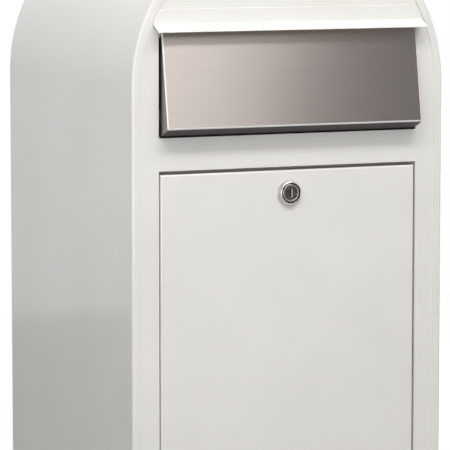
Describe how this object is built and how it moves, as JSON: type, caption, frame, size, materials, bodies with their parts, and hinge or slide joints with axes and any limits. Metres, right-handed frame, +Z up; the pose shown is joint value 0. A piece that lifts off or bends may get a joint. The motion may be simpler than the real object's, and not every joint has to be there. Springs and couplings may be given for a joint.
{
  "type": "parcel drop box",
  "caption": "Arch-topped steel parcel and mail drop box with a canopied push-up insertion flap, a locking drop-down door, and wall and stand fixings.",
  "frame": {"origin": "middle of the underside of the base, where the box stands", "axes": "+X to the right seen from the front, +Y from the front to the wall, +Z up"},
  "size_m": [0.38, 0.3983, 0.7],
  "materials": {
    "white_powder_coat": "satin white powder coat",
    "stainless_brushed": "stainless sheet, brushed across",
    "stainless_plain": "drawn stainless wire",
    "zinc_plated_steel": "bright zinc plate",
    "nylon": "natural nylon",
    "black_rubber": "matt black rubber",
    "foam_seal": "closed-cell foam strip",
    "chrome": "polished chrome plate",
    "nickel_plated": "nickel-plated die casting",
    "dark_plug": "dark-plated plug face"
  },
  "bodies": {
    "cabinet": {"body_shell": "white_powder_coat", "back_panel": "white_powder_coat", "base_panel": "white_powder_coat", "front_plate": "white_powder_coat", "slot_hood": "white_powder_coat", "flap_hinge_rod": "stainless_plain", "rod_clips": "stainless_plain", "flap_bracket_right": "zinc_plated_steel", "flap_bracket_left": "zinc_plated_steel", "bracket_studs": "zinc_plated_steel", "bracket_nuts": "zinc_plated_steel", "flap_buffers": "black_rubber", "mail_guide": "white_powder_coat", "door_jamb_right": "white_powder_coat", "door_jamb_left": "white_powder_coat", "door_header": "white_powder_coat", "door_sill": "white_powder_coat", "door_seal": "foam_seal", "frame_leaf_right": "zinc_plated_steel", "frame_leaf_left": "zinc_plated_steel", "hinge_pin_right": "stainless_plain", "hinge_pin_left": "stainless_plain"},
    "flap": {"insertion_flap": "stainless_brushed", "flap_bushes": "nylon"},
    "door": {"door_panel": "white_powder_coat", "door_leaf_right": "zinc_plated_steel", "door_leaf_left": "zinc_plated_steel", "door_check_right": "zinc_plated_steel", "door_check_left": "zinc_plated_steel", "lock_plate": "zinc_plated_steel", "lock_gasket": "black_rubber", "lock_bezel": "chrome", "lock_housing": "nickel_plated", "lock_washer": "zinc_plated_steel", "lock_nut": "zinc_plated_steel"},
    "lock_core": {"lock_plug": "dark_plug", "key_shutter": "dark_plug", "lock_cam": "zinc_plated_steel", "cam_washer": "zinc_plated_steel", "cam_screw": "zinc_plated_steel"}
  },
  "joints": [
    {"name": "flap_swing", "type": "hinge", "parent": "cabinet", "child": "flap", "pos_m": [0, -0.1835, 0.57], "axis": [-1, 0, 0], "range_deg": [0, 60]},
    {"name": "door_swing", "type": "hinge", "parent": "cabinet", "child": "door", "pos_m": [0, -0.189, 0.0331], "axis": [1, 0, 0], "range_deg": [0, 90]},
    {"name": "lock_turn", "type": "hinge", "parent": "door", "child": "lock_core", "pos_m": [0, -0.1885, 0.39], "axis": [0, -1, 0], "range_deg": [0, 90]}
  ]
}
